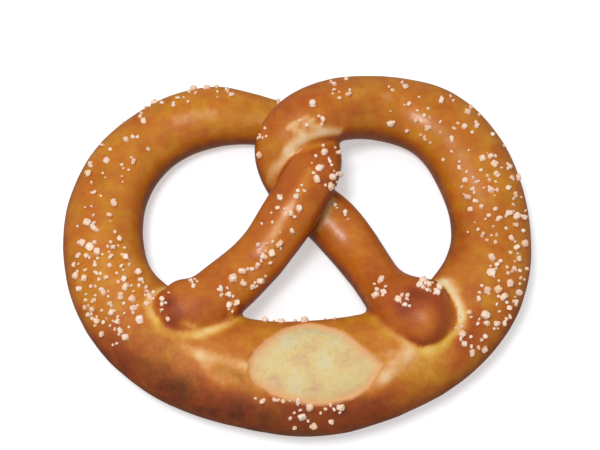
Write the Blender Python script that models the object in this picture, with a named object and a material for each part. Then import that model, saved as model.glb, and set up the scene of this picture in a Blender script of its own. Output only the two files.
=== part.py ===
"""A soft pretzel, lying flat on its base.

One rope of dough, thick in the middle and thin towards its ends, is laid in a loop. The two arms are
wound once round each other, and their ends are pressed on the thick belly at the front. The belly has
split open through the crust, and coarse salt is baked on.

Lengths are in millimetres until a mesh is made, which is in metres. X runs across the pretzel, Y from
the belly to the twist and Z up from the table. The origin is on the table, under the middle.
"""

import math
import random

import bmesh
import bpy
import numpy as np
from mathutils import Euler, Matrix, Vector

MM = 0.001

# The rope's stations from its left end to its right end. Each gives x, y, the height of the rope's
# underside above the table, and half the rope's width.
LEFT_ARM = [
    (-48.0, -23.9, 12.5, 9.5),
    (-41.8, -24.1, 12.0, 10.3),
    (-33.0, -22.6, 11.0, 10.4),
    (-24.0, -14.6, 8.0, 10.0),
    (-12.3, -2.4, 7.5, 9.4),
    (-1.8, 12.0, 12.5, 9.8),
    (6.5, 29.3, 10.5, 9.3),
]
LEFT_LOOP = [
    (3.0, 45.8, 1.5, 8.4),
    (-13.0, 52.6, 0.0, 9.1),
    (-30.5, 53.5, 0.0, 11.3),
    (-47.8, 47.0, 0.0, 11.8),
    (-63.0, 31.0, 0.0, 12.9),
    (-68.6, 7.9, 0.0, 14.1),
    (-62.5, -16.4, 0.0, 15.3),
]
BELLY = [
    (-43.0, -34.5, 0.0, 18.0),
    (-18.3, -43.8, 0.0, 18.8),
    (6.1, -46.0, 0.0, 19.9),
    (29.8, -40.8, 0.0, 18.7),
    (50.5, -30.0, 0.0, 17.0),
]
RIGHT_LOOP = [
    (65.0, -11.5, 0.0, 15.5),
    (69.0, 10.4, 0.0, 14.0),
    (63.0, 33.6, 0.0, 14.1),
    (49.0, 51.0, 0.0, 13.2),
    (28.4, 55.0, 3.0, 11.8),
    (6.5, 48.1, 12.0, 11.0),
]
RIGHT_ARM = [
    (-5.5, 37.0, 10.5, 9.4),
    (-1.0, 24.5, 3.0, 8.6),
    (10.6, 15.0, 0.0, 9.6),
    (23.0, -0.9, 1.0, 8.9),
    (30.8, -15.0, 6.5, 9.0),
    (41.4, -25.2, 10.5, 12.5),
    (52.9, -28.2, 12.0, 10.6),
]
STATIONS = LEFT_ARM + LEFT_LOOP + BELLY + RIGHT_LOOP + RIGHT_ARM

# A thin arm is nearly round, and the thick belly sags under its own weight.
THIN_HALF_WIDTH = 8.0
THIN_ROUNDNESS = 0.85
SAG_PER_MM = 0.0125
# The underside is squarer than the top, and this much of it is flattened by the baking tray.
BASE_SQUARENESS = 2.5
TOP_SQUARENESS = 2.0
FLATTENED = 1.7
FLATTENED_BELOW = 3.0
TIP_LENGTH = 9.0

# The rope is worked out at one place each COURSE_STEP, and skinned over rings RING_STEP apart. On the
# round tips the rings stand at these angles of a quarter circle.
COURSE_SAMPLES = 4000
COURSE_STEP = 1.0
RING_STEP = 5.0
RING_CORNERS = 16
TIP_RING_ANGLES = (12, 32, 52, 72)
THINNEST = 0.01

# The split on the belly: places along the rope, with the angles of its back and front edges there.
# An angle round the rope is 0 at the top and grows towards the loop's outer side.
SPLIT_OUTLINE = [
    (285.6, -1.0, 1.5),
    (287.0, -14.0, 12.0),
    (289.8, -27.0, 20.5),
    (294.0, -42.0, 27.5),
    (299.3, -53.0, 32.5),
    (306.8, -60.0, 38.0),
    (314.8, -48.0, 38.0),
    (320.8, -33.0, 34.0),
    (325.4, -11.0, 25.0),
    (328.3, 2.0, 16.0),
    (329.7, 10.0, 12.0),
]
SPLIT_RIM_DEPTH = 1.2
SPLIT_MIDDLE_DEPTH = 0.6
SPLIT_CUTTER_HEIGHT = 4.0
SPLIT_STEPS_ALONG = 14
SPLIT_STEPS_ACROSS = 6

# Where salt lies: a stretch along the rope, a range of angles round it and the number of grains.
SALT_PATCHES = [
    (2, 5, -32, 40, 2),
    (13, 17, -52, -25, 2),
    (20, 24, 0, 62, 4),
    (27, 40, 0, 56, 6),
    (40, 60, -30, 50, 6),
    (60, 72, -30, 30, 5),
    (74, 88, -10, 78, 9),
    (114, 118, 35, 65, 2),
    (133, 168, 15, 68, 9),
    (168, 200, -25, 50, 9),
    (200, 216, -35, 35, 7),
    (214, 246, -40, 52, 34),
    (284, 322, -78, -68, 3),
    (290, 303, 33, 38, 3),
    (300, 316, 40, 75, 6),
    (356, 388, 0, 62, 24),
    (388, 428, -40, 62, 28),
    (428, 470, -50, 55, 14),
    (480, 490, -10, 50, 3),
    (496, 503, -42, 5, 2),
    (509, 516, 30, 55, 2),
    (545, 552, -24, -15, 2),
    (582, 590, 0, 38, 3),
    (594, 598, -5, 12, 3),
    (596, 604, -52, -28, 6),
]
SALT_SEED = 13
SALT_RADII = (0.95, 1.45)
SALT_STRETCH = (0.75, 1.25)
SALT_SUNK = 0.35
SALT_SPACING = 2.9
SALT_TRIES = 60
# Stretches of rope closer than this along the rope are neighbours and never cover each other.
NEIGHBOUR_STRETCH = 40.0
COVER_MARGIN = 1.06

# Edges shorter than this are closed up once everything is joined.
SLIVER = 0.01

TABLE_BLOCK = (220.0, 200.0, 30.0)
SHARP_ANGLE = 40.0

CRUST_COLOUR = (0.46, 0.165, 0.030)
CRUST_ROUGHNESS = 0.38
CRUMB_COLOUR = (0.72, 0.52, 0.22)
CRUMB_ROUGHNESS = 0.85
SALT_COLOUR = (0.90, 0.84, 0.76)
SALT_ROUGHNESS = 0.45


def clear_scene():
    """Removes every object that the file opened with."""
    for thing in list(bpy.data.objects):
        bpy.data.objects.remove(thing)


def finish(name, colour, roughness):
    """A plain opaque material."""
    material = bpy.data.materials.new(name)
    material.use_nodes = True
    shader = material.node_tree.nodes["Principled BSDF"]
    shader.inputs["Base Color"].default_value = (*colour, 1.0)
    shader.inputs["Roughness"].default_value = roughness
    shader.inputs["Metallic"].default_value = 0.0
    material.diffuse_color = (*colour, 1.0)
    return material


def smooth_course(points, spacing, places):
    """Reads a natural cubic spline through points, set spacing apart, at the given places."""
    count = len(points)
    gaps = np.diff(spacing)
    system = np.zeros((count, count))
    pull = np.zeros_like(points)
    system[0, 0] = system[-1, -1] = 1.0
    for i in range(1, count - 1):
        before, after = gaps[i - 1], gaps[i]
        system[i, i - 1 : i + 2] = before, 2 * (before + after), after
        pull[i] = 6 * ((points[i + 1] - points[i]) / after - (points[i] - points[i - 1]) / before)
    bend = np.linalg.solve(system, pull)
    span = np.clip(np.searchsorted(spacing, places, side="right") - 1, 0, count - 2)
    gap = gaps[span][:, None]
    left = (spacing[span + 1] - places)[:, None]
    right = (places - spacing[span])[:, None]
    curved = (bend[span] * left**3 + bend[span + 1] * right**3) / (6 * gap)
    from_left = (points[span] / gap - bend[span] * gap / 6) * left
    from_right = (points[span + 1] / gap - bend[span + 1] * gap / 6) * right
    return curved + from_left + from_right


def unit(vectors):
    """Vectors of length one, along the last axis."""
    return vectors / np.linalg.norm(vectors, axis=-1, keepdims=True)


class Rope:
    """The rope of dough: where its middle runs, and how wide and high it is there."""

    def __init__(self, stations):
        points = np.array(stations)
        # Spacing by the root of the distance keeps the curve from swinging wide at tight bends.
        strides = np.sqrt(np.linalg.norm(np.diff(points[:, :3], axis=0), axis=1))
        spacing = np.concatenate([[0.0], np.cumsum(strides)])
        fine = smooth_course(points, spacing, np.linspace(0.0, spacing[-1], COURSE_SAMPLES))
        underside = np.maximum(fine[:, 2], 0.0)
        half_width = fine[:, 3]
        roundness = THIN_ROUNDNESS - SAG_PER_MM * (half_width - THIN_HALF_WIDTH)
        half_height = half_width * roundness
        resting = np.clip(1 - underside / FLATTENED_BELOW, 0.0, 1.0)
        middle = np.column_stack([fine[:, :2], underside + half_height - FLATTENED * resting])
        walked = np.concatenate([[0.0], np.cumsum(np.linalg.norm(np.diff(middle, axis=0), axis=1))])
        self.length = walked[-1]
        self.along = np.linspace(0.0, self.length, round(self.length / COURSE_STEP))
        self.middle = np.column_stack([np.interp(self.along, walked, column) for column in middle.T])
        ends = np.minimum(self.along, self.length - self.along) / TIP_LENGTH
        tip = np.sqrt(1 - (1 - np.clip(ends, 0.0, 1.0)) ** 2)
        self.half_width = np.maximum(np.interp(self.along, walked, half_width) * tip, THINNEST)
        self.half_height = np.maximum(np.interp(self.along, walked, half_height) * tip, THINNEST)
        self.ahead = unit(np.gradient(self.middle, axis=0))
        self.outward = unit(np.cross(self.ahead, (0.0, 0.0, 1.0)))
        self.upward = np.cross(self.outward, self.ahead)

    def read(self, values, along):
        """One of the rope's columns of values, read between its samples."""
        if values.ndim == 1:
            return np.interp(along, self.along, values)
        return np.array([np.interp(along, self.along, column) for column in values.T])

    def skin(self, along, angle, raised=0.0):
        """A point of the surface, or one raised above it, and the way out of the dough there."""
        middle = self.read(self.middle, along)
        outward = unit(self.read(self.outward, along))
        upward = unit(self.read(self.upward, along))
        half_width = self.read(self.half_width, along)
        half_height = self.read(self.half_height, along)
        side, top = math.sin(math.radians(angle)), math.cos(math.radians(angle))
        power = 2 / (TOP_SQUARENESS if top >= 0 else BASE_SQUARENESS)
        across = math.copysign(abs(side) ** power, side) * half_width
        height = math.copysign(abs(top) ** power, top) * half_height
        way_out = unit(outward * side / half_width + upward * top / half_height)
        return middle + outward * across + upward * height + way_out * raised, way_out

    def covers(self, point, along):
        """Whether a far stretch of the rope lies over a point of the surface."""
        reach = point - self.middle
        ahead = np.abs(np.einsum("ij,ij->i", reach, self.ahead))
        across = np.einsum("ij,ij->i", reach, self.outward) / self.half_width
        height = np.einsum("ij,ij->i", reach, self.upward) / self.half_height
        inside = across**2 + height**2 < COVER_MARGIN**2
        far = np.abs(self.along - along) > NEIGHBOUR_STRETCH
        return bool(np.any(inside & far & (ahead < 2 * COURSE_STEP)))


def add_mesh_object(name, mesh, material, collection):
    """A new object for a mesh, with its material, in a collection."""
    mesh.materials.append(material)
    thing = bpy.data.objects.new(name, mesh)
    collection.objects.link(thing)
    return thing


def skin_over(name, rings):
    """A closed mesh over a row of rings with equal numbers of points, given in millimetres.

    Its faces are triangles, because a Boolean can tear a four-sided face that isn't flat.
    """
    shape = bmesh.new()
    rows = [[shape.verts.new(Vector(point) * MM) for point in ring] for ring in rings]
    for row, following in zip(rows, rows[1:]):
        for k in range(len(row)):
            nearest, beside = k, (k + 1) % len(row)
            shape.faces.new((row[nearest], row[beside], following[beside], following[nearest]))
    shape.faces.new(rows[0])
    shape.faces.new(rows[-1])
    bmesh.ops.recalc_face_normals(shape, faces=shape.faces)
    bmesh.ops.triangulate(shape, faces=shape.faces)
    mesh = bpy.data.meshes.new(name)
    shape.to_mesh(mesh)
    shape.free()
    return mesh


def ring_places(rope):
    """Where the rope's rings stand: close together on the round tips, then evenly spaced."""
    tip = [TIP_LENGTH * (1 - math.cos(math.radians(angle))) for angle in TIP_RING_ANGLES]
    stretch = rope.length - 2 * TIP_LENGTH
    count = round(stretch / RING_STEP)
    body = [TIP_LENGTH + stretch * i / count for i in range(count + 1)]
    return tip + body + [rope.length - place for place in reversed(tip)]


def rope_mesh(rope):
    """The whole rope as one skin. It runs through itself where the real arms touch."""
    angles = [360 * k / RING_CORNERS for k in range(RING_CORNERS)]
    rings = [[rope.skin(along, angle)[0] for angle in angles] for along in ring_places(rope)]
    return skin_over("pretzel", rings)


def split_cutter_mesh(rope):
    """A lens-shaped slice that follows the belly, from above the crust down to the crumb."""
    outline = np.array(SPLIT_OUTLINE)
    first, last = outline[0, 0], outline[-1, 0]
    # The rings stand closer together towards the split's ends, where its outline is rounder.
    turns = [math.pi * i / SPLIT_STEPS_ALONG for i in range(SPLIT_STEPS_ALONG + 1)]
    places = np.array([first + (last - first) * (1 - math.cos(turn)) / 2 for turn in turns])
    edges = smooth_course(outline[:, 1:], outline[:, 0], places)
    shares = [j / SPLIT_STEPS_ACROSS for j in range(SPLIT_STEPS_ACROSS + 1)]
    rings = []
    for turn, along, (back, front) in zip(turns, places, edges):
        angles = [back + (front - back) * share for share in shares]
        bulges = [math.sin(turn) ** 2 * 4 * share * (1 - share) for share in shares]
        depths = [SPLIT_RIM_DEPTH + (SPLIT_MIDDLE_DEPTH - SPLIT_RIM_DEPTH) * bulge for bulge in bulges]
        floor = [rope.skin(along, angle, -depth)[0] for angle, depth in zip(angles, depths)]
        roof = [rope.skin(along, angle, SPLIT_CUTTER_HEIGHT)[0] for angle in reversed(angles)]
        rings.append(floor + roof)
    return skin_over("split cutter", rings)


def grain_mesh(draw):
    """A lump of coarse salt: a ball with few faces, its corners pushed in and out."""
    shape = bmesh.new()
    bmesh.ops.create_icosphere(shape, subdivisions=1, radius=draw.uniform(*SALT_RADII) * MM)
    stretch = [draw.uniform(*SALT_STRETCH) for _ in range(3)]
    for corner in shape.verts:
        corner.co = Vector([value * size for value, size in zip(corner.co, stretch)])
    turn = Euler([draw.uniform(0.0, math.tau) for _ in range(3)]).to_matrix()
    bmesh.ops.transform(shape, matrix=turn.to_4x4(), verts=shape.verts)
    mesh = bpy.data.meshes.new("salt grain")
    shape.to_mesh(mesh)
    shape.free()
    return mesh


def salt_places(rope, draw):
    """Where each grain lies, with the way out of the dough there: spread evenly inside each patch."""
    places = []
    for first, last, low_angle, high_angle, count in SALT_PATCHES:
        laid = 0
        for _ in range(count * SALT_TRIES):
            along, angle = draw.uniform(first, last), draw.uniform(low_angle, high_angle)
            point, way_out = rope.skin(along, angle)
            close = any(np.linalg.norm(point - other) < SALT_SPACING for other, _ in places)
            if close or rope.covers(point, along):
                continue
            places.append((point, way_out))
            laid += 1
            if laid == count:
                break
    return places


def scatter_salt(rope, collection, material):
    """Lays the grains on the crust, each sunk a little into it."""
    draw = random.Random(SALT_SEED)
    for number, (point, way_out) in enumerate(salt_places(rope, draw)):
        grain = add_mesh_object(f"grain {number}", grain_mesh(draw), material, collection)
        grain.location = Vector(point - way_out * SALT_SUNK * SALT_RADII[0]) * MM


def settle(thing):
    """Turns an object and its modifiers into a plain mesh."""
    bpy.context.view_layer.update()
    evaluated = thing.evaluated_get(bpy.context.evaluated_depsgraph_get())
    mesh = bpy.data.meshes.new_from_object(evaluated)
    thing.modifiers.clear()
    thing.data = mesh


def combine(target, operation, other=None, collection=None, touches_itself=False):
    """Applies one Boolean to target, and removes what was joined to it or cut from it."""
    step = target.modifiers.new(operation.lower(), "BOOLEAN")
    step.operation = operation
    step.solver = "EXACT"
    step.material_mode = "TRANSFER"
    step.use_self = touches_itself
    if collection is None:
        step.object = other
    else:
        step.operand_type = "COLLECTION"
        step.collection = collection
    settle(target)
    for used in [other] if collection is None else list(collection.objects):
        bpy.data.objects.remove(used)


def keep_main_shell(thing):
    """Drops loose scraps, fills sealed hollows and closes slivers, so that one clean shell is left."""
    shape = bmesh.new()
    shape.from_mesh(thing.data)
    left = set(shape.verts)
    shells = []
    while left:
        shell = {left.pop()}
        edge = set(shell)
        while edge:
            edge = {e.other_vert(v) for v in edge for e in v.link_edges} - shell
            shell |= edge
        left -= shell
        shells.append(shell)
    largest = max(shells, key=len)
    spare = [corner for shell in shells if shell is not largest for corner in shell]
    bmesh.ops.delete(shape, geom=spare, context="VERTS")
    bmesh.ops.dissolve_degenerate(shape, dist=SLIVER * MM, edges=shape.edges)
    shape.to_mesh(thing.data)
    shape.free()


def box_below_table(name, material, collection):
    """A block whose top is the table, to cut the rope's base flat."""
    shape = bmesh.new()
    bmesh.ops.create_cube(shape, size=1.0)
    size = Matrix.Diagonal((*[side * MM for side in TABLE_BLOCK], 1.0))
    drop = Matrix.Translation((0.0, 0.0, -TABLE_BLOCK[2] / 2 * MM))
    bmesh.ops.transform(shape, matrix=drop @ size, verts=shape.verts)
    mesh = bpy.data.meshes.new(name)
    shape.to_mesh(mesh)
    shape.free()
    return add_mesh_object(name, mesh, material, collection)


def make_collection(name):
    """A new collection in the scene."""
    collection = bpy.data.collections.new(name)
    bpy.context.scene.collection.children.link(collection)
    return collection


def build_pretzel():
    """Rolls the rope, joins it where it touches, flattens its base, splits its belly and salts it."""
    clear_scene()
    crust = finish("baked crust", CRUST_COLOUR, CRUST_ROUGHNESS)
    crumb = finish("pale crumb", CRUMB_COLOUR, CRUMB_ROUGHNESS)
    salt = finish("coarse salt", SALT_COLOUR, SALT_ROUGHNESS)
    body, tools, grains = (make_collection(name) for name in ("pretzel", "cutters", "salt grains"))

    rope = Rope(STATIONS)
    pretzel = add_mesh_object("pretzel", rope_mesh(rope), crust, body)
    # The rope's skin runs through itself where strands touch, so the first cut also fuses them.
    table = box_below_table("table block", crust, tools)
    combine(pretzel, "DIFFERENCE", table, touches_itself=True)
    cutter = add_mesh_object("split cutter", split_cutter_mesh(rope), crumb, tools)
    combine(pretzel, "DIFFERENCE", cutter)
    scatter_salt(rope, grains, salt)
    combine(pretzel, "UNION", collection=grains)
    keep_main_shell(pretzel)
    pretzel.data.shade_smooth()
    pretzel.data.set_sharp_from_angle(angle=math.radians(SHARP_ANGLE))
    return pretzel


build_pretzel()
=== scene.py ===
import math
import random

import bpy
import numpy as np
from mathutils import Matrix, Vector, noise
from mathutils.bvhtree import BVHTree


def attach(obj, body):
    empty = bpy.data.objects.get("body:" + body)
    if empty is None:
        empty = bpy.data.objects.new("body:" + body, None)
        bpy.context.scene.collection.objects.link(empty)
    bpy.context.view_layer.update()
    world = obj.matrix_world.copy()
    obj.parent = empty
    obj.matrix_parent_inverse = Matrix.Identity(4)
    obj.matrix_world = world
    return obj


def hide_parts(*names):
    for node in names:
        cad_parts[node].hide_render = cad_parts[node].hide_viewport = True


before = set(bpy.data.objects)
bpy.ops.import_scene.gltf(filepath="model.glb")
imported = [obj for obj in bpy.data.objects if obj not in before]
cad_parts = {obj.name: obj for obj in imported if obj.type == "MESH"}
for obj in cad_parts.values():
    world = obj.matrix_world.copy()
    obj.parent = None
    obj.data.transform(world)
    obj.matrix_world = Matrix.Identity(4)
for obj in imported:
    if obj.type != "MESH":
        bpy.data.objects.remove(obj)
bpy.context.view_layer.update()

# %% [markdown]
# # A salted soft pretzel
#
# The real thing is one rope of wheat dough. The baker rolls it thick in the middle and thin at the
# ends, lays it in a loop, winds the two arms once round each other and presses their ends on the thick
# belly. A dip in lye makes the crust brown and glossy, a cut lets the belly split open, and coarse salt
# sticks to the wet dough before it bakes.
#
# The model is made in the same order: a route for the rope, a skin swept along it, the strands fused
# into one surface, the split, the browning, and the salt last. The frame that was loaded above holds
# the pretzel's solid in metres. Sizes here are in millimetres until a mesh is made.

MM = 0.001

# %% [markdown]
# ## Two helpers
#
# Colours are written as the hex values that a paint program shows, and the shader wants linear light,
# so one function turns them. Every node tree, for shapes or for materials, is built with one more
# function, which adds a node, sets its properties, fills or joins its sockets, and gives a colour ramp
# its stops.

# %% Colours and nodes


def linear(code):
    """An sRGB hex colour as linear red, green, blue and an alpha of one."""
    shares = [int(code[i : i + 2], 16) / 255 for i in (1, 3, 5)]
    return [c / 12.92 if c <= 0.04045 else ((c + 0.055) / 1.055) ** 2.4 for c in shares] + [1.0]


def add(tree, kind, sockets=(), stops=(), **settings):
    """A new node. Its sockets, in order or by name or number, get values, hex colours or outputs."""
    node = tree.nodes.new(kind)
    for name, value in settings.items():
        setattr(node, name, value)
    if not isinstance(sockets, dict):
        sockets = dict(enumerate(sockets))
    for socket, source in sockets.items():
        if isinstance(source, bpy.types.NodeSocket):
            tree.links.new(source, node.inputs[socket])
        elif isinstance(source, str) and source.startswith("#"):
            node.inputs[socket].default_value = linear(source)
        else:
            node.inputs[socket].default_value = source
    for i, (place, code) in enumerate(stops):
        elements = node.color_ramp.elements
        element = elements[i] if i < len(elements) else elements.new(place)
        element.position = place
        element.color = linear(code)
    return node


print("A middle grey in linear light:", round(linear("#808080")[0], 3))


# %% [markdown]
# ## The camera
#
# The photo looks down steeply from the front, so a little of the belly's front side shows and the
# holes look nearly round. A long lens from about 60 cm keeps the far loops as large as the near belly.
# The camera comes first, because everything after it is judged through it.

# %% Camera
LENS = 100.0
ELEVATION = 70.0
DISTANCE = 590.0
AIM = Vector((1.25, 9.7, 12.0))
NEAREST_SEEN = 0.01


def place_camera():
    """A camera in front of the pretzel, high up, that looks at its middle."""
    data = bpy.data.cameras.new("camera")
    data.lens = LENS
    data.clip_start = NEAREST_SEEN
    camera = bpy.data.objects.new("camera", data)
    bpy.context.scene.collection.objects.link(camera)
    rise = math.radians(ELEVATION)
    back = Vector((0.0, -math.cos(rise), math.sin(rise)))
    camera.location = (AIM + back * DISTANCE) * MM
    camera.rotation_euler = (math.radians(90.0 - ELEVATION), 0.0, 0.0)
    bpy.context.scene.camera = camera
    return camera


print("Camera at", [round(value, 3) for value in place_camera().location])

# %% [markdown]
# ## The rope's route
#
# A baker thinks of a pretzel as a path and a thickness, and so does this model. Each station gives a
# point of the table, the height of the rope's underside there, and half the rope's width. The left arm
# starts at its knob, climbs on the belly, crosses over the right arm low down, and dives under it at
# the top. A natural cubic spline joins the stations, because it bends evenly, as a soft rope does.

# %% Stations
LEFT_ARM = [
    (-48.0, -23.9, 12.5, 9.5), (-41.8, -24.1, 12.0, 10.3), (-33.0, -22.6, 11.0, 10.4),
    (-24.0, -14.6, 8.0, 10.0), (-12.3, -2.4, 7.5, 9.4), (-1.8, 12.0, 12.5, 9.8),
    (6.5, 29.3, 10.5, 9.3),
]
LEFT_LOOP = [
    (3.0, 45.8, 1.5, 8.4), (-13.0, 52.6, 0.0, 9.1), (-30.5, 53.5, 0.0, 11.3),
    (-47.8, 47.0, 0.0, 11.8), (-63.0, 31.0, 0.0, 12.9), (-68.6, 7.9, 0.0, 14.1),
    (-62.5, -16.4, 0.0, 15.3),
]
BELLY = [
    (-43.0, -34.5, 0.0, 18.0), (-18.3, -43.8, 0.0, 18.8), (6.1, -46.0, 0.0, 19.9),
    (29.8, -40.8, 0.0, 18.7), (50.5, -30.0, 0.0, 17.0),
]
RIGHT_LOOP = [
    (65.0, -11.5, 0.0, 15.5), (69.0, 10.4, 0.0, 14.0), (63.0, 33.6, 0.0, 14.1),
    (49.0, 51.0, 0.0, 13.2), (28.4, 55.0, 3.0, 11.8), (6.5, 48.1, 12.0, 11.0),
]
RIGHT_ARM = [
    (-5.5, 37.0, 10.5, 9.4), (-1.0, 24.5, 3.0, 8.6), (10.6, 15.0, 0.0, 9.6),
    (23.0, -0.9, 1.0, 8.9), (30.8, -15.0, 6.5, 9.0), (41.4, -25.2, 10.5, 12.5),
    (52.9, -28.2, 12.0, 10.6),
]
STATIONS = LEFT_ARM + LEFT_LOOP + BELLY + RIGHT_LOOP + RIGHT_ARM
print(len(STATIONS), "stations")

# %% [markdown]
# ## From stations to a rope
#
# The spline is read at one place each millimetre. At each place the rope also needs a direction to
# its outer side and one upwards, both square to its run, so that its section can be set up there. A
# thin arm is nearly round. The belly is lower than it is wide, because heavy dough sags, and the
# underside lies flat where it rested on the baking tray.

# %% The rope
THIN_HALF_WIDTH = 8.0
THIN_ROUNDNESS = 0.85
SAG_PER_MM = 0.0125
BASE_SQUARENESS = 2.5
FLATTENED = 1.7
FLATTENED_BELOW = 3.0
TIP_LENGTH = 9.0
COURSE_STEP = 1.0
SPLINE_SAMPLES = 4000
SMALLEST_HALF = 0.02


def unit(vectors):
    """Vectors of length one, along the last axis."""
    return vectors / np.linalg.norm(vectors, axis=-1, keepdims=True)


def smooth_course(points, spacing, places):
    """Reads a natural cubic spline through points, set spacing apart, at the given places."""
    count = len(points)
    gaps = np.diff(spacing)
    system = np.zeros((count, count))
    pull = np.zeros_like(points)
    system[0, 0] = system[-1, -1] = 1.0
    for i in range(1, count - 1):
        before, after = gaps[i - 1], gaps[i]
        system[i, i - 1 : i + 2] = before, 2 * (before + after), after
        pull[i] = 6 * ((points[i + 1] - points[i]) / after - (points[i] - points[i - 1]) / before)
    bend = np.linalg.solve(system, pull)
    span = np.clip(np.searchsorted(spacing, places, side="right") - 1, 0, count - 2)
    gap = gaps[span][:, None]
    left = (spacing[span + 1] - places)[:, None]
    right = (places - spacing[span])[:, None]
    curved = (bend[span] * left**3 + bend[span + 1] * right**3) / (6 * gap)
    from_left = (points[span] / gap - bend[span] * gap / 6) * left
    from_right = (points[span + 1] / gap - bend[span + 1] * gap / 6) * right
    return curved + from_left + from_right


class Rope:
    """The rope of dough: where its middle runs, and how wide and high it is there."""

    def __init__(self, stations):
        points = np.array(stations)
        # Spacing by the root of the distance keeps the curve from swinging wide at tight bends.
        strides = np.sqrt(np.linalg.norm(np.diff(points[:, :3], axis=0), axis=1))
        spacing = np.concatenate([[0.0], np.cumsum(strides)])
        fine = smooth_course(points, spacing, np.linspace(0.0, spacing[-1], SPLINE_SAMPLES))
        underside = np.maximum(fine[:, 2], 0.0)
        half_width = fine[:, 3]
        half_height = half_width * (THIN_ROUNDNESS - SAG_PER_MM * (half_width - THIN_HALF_WIDTH))
        resting = np.clip(1 - underside / FLATTENED_BELOW, 0.0, 1.0)
        middle = np.column_stack([fine[:, :2], underside + half_height - FLATTENED * resting])
        walked = np.concatenate([[0.0], np.cumsum(np.linalg.norm(np.diff(middle, axis=0), axis=1))])
        self.length = walked[-1]
        self.along = np.linspace(0.0, self.length, round(self.length / COURSE_STEP))
        self.middle = np.column_stack([np.interp(self.along, walked, column) for column in middle.T])
        ends = np.minimum(self.along, self.length - self.along) / TIP_LENGTH
        tip = np.sqrt(1 - (1 - np.clip(ends, 0.0, 1.0)) ** 2)
        self.half_width = np.maximum(np.interp(self.along, walked, half_width) * tip, SMALLEST_HALF)
        self.half_height = np.maximum(np.interp(self.along, walked, half_height) * tip, SMALLEST_HALF)
        self.ahead = unit(np.gradient(self.middle, axis=0))
        self.outward = unit(np.cross(self.ahead, (0.0, 0.0, 1.0)))
        self.upward = np.cross(self.outward, self.ahead)

    def read(self, values, along):
        """One of the rope's columns of values, read between its samples."""
        if values.ndim == 1:
            return np.interp(along, self.along, values)
        return np.array([np.interp(along, self.along, column) for column in values.T])

    def skin(self, along, angle):
        """A point on the top half of the skin, and the way out of the dough there."""
        outward = unit(self.read(self.outward, along))
        upward = unit(self.read(self.upward, along))
        half_width = self.read(self.half_width, along)
        half_height = self.read(self.half_height, along)
        side, top = math.sin(math.radians(angle)), math.cos(math.radians(angle))
        point = self.read(self.middle, along) + outward * side * half_width + upward * top * half_height
        return point, unit(outward * side / half_width + upward * top / half_height)


rope = Rope(STATIONS)
print(f"The rope is {rope.length:.0f} mm long, and {2 * rope.half_width.max():.0f} mm wide at its belly")

# %% [markdown]
# ## Sweep the skin
#
# A shape that follows a path is a job for Geometry Nodes. The rope's middle line goes in as a chain of
# points that carry their own sizes and directions. The tree turns the chain into a curve, sweeps a
# circle along it, and then puts every point of the circle where the rope's section has it. Placing the
# points by the stored directions avoids the twist that a curve's own frame would add at steep bends.
# The section's lower half is a squarer oval than the upper, and nothing goes below the table.

# %% Sweep tree
SECTION_CORNERS = 96
STORED_NUMBERS = ("half_width", "half_height")
STORED_VECTORS = ("centre", "outward", "upward", "section")


def middle_line():
    """The rope's middle as a chain of points, with its sizes and directions stored on them."""
    mesh = bpy.data.meshes.new("rope middle")
    count = len(rope.along)
    mesh.from_pydata(rope.middle * MM, [(i, i + 1) for i in range(count - 1)], [])
    for name, values in (("half_width", rope.half_width * MM), ("half_height", rope.half_height * MM)):
        mesh.attributes.new(name, "FLOAT", "POINT").data.foreach_set("value", values)
    directions = (("centre", rope.middle * MM), ("outward", rope.outward), ("upward", rope.upward))
    for name, values in directions:
        stored = mesh.attributes.new(name, "FLOAT_VECTOR", "POINT")
        stored.data.foreach_set("vector", values.ravel())
    return mesh


def new_shape_tree(name, inputs):
    """An empty Geometry Nodes tree that takes a shape, some named inputs and a material."""
    tree = bpy.data.node_groups.new(name, "GeometryNodeTree")
    tree.interface.new_socket("Geometry", in_out="INPUT", socket_type="NodeSocketGeometry")
    tree.interface.new_socket("Geometry", in_out="OUTPUT", socket_type="NodeSocketGeometry")
    for label, kind in (*inputs, ("Material", "NodeSocketMaterial")):
        tree.interface.new_socket(label, in_out="INPUT", socket_type=kind)
    return tree, tree.nodes.new("NodeGroupInput"), tree.nodes.new("NodeGroupOutput")


def dress(tree, shape, given, result):
    """Ends a tree: its instances become real, and the shape gets the material that came in."""
    real = add(tree, "GeometryNodeRealizeInstances", [shape]).outputs[0]
    finish = {"Geometry": real, "Material": given.outputs["Material"]}
    tree.links.new(add(tree, "GeometryNodeSetMaterial", finish).outputs[0], result.inputs[0])
    return tree


def squared(tree, value, power):
    """A share of a circle's radius, pushed outwards by a power below one, with its sign kept."""
    size = add(tree, "ShaderNodeMath", [value], operation="ABSOLUTE").outputs[0]
    pushed = add(tree, "ShaderNodeMath", [size, power], operation="POWER").outputs[0]
    sign = add(tree, "ShaderNodeMath", [value], operation="SIGN").outputs[0]
    return add(tree, "ShaderNodeMath", [pushed, sign], operation="MULTIPLY").outputs[0]


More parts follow.
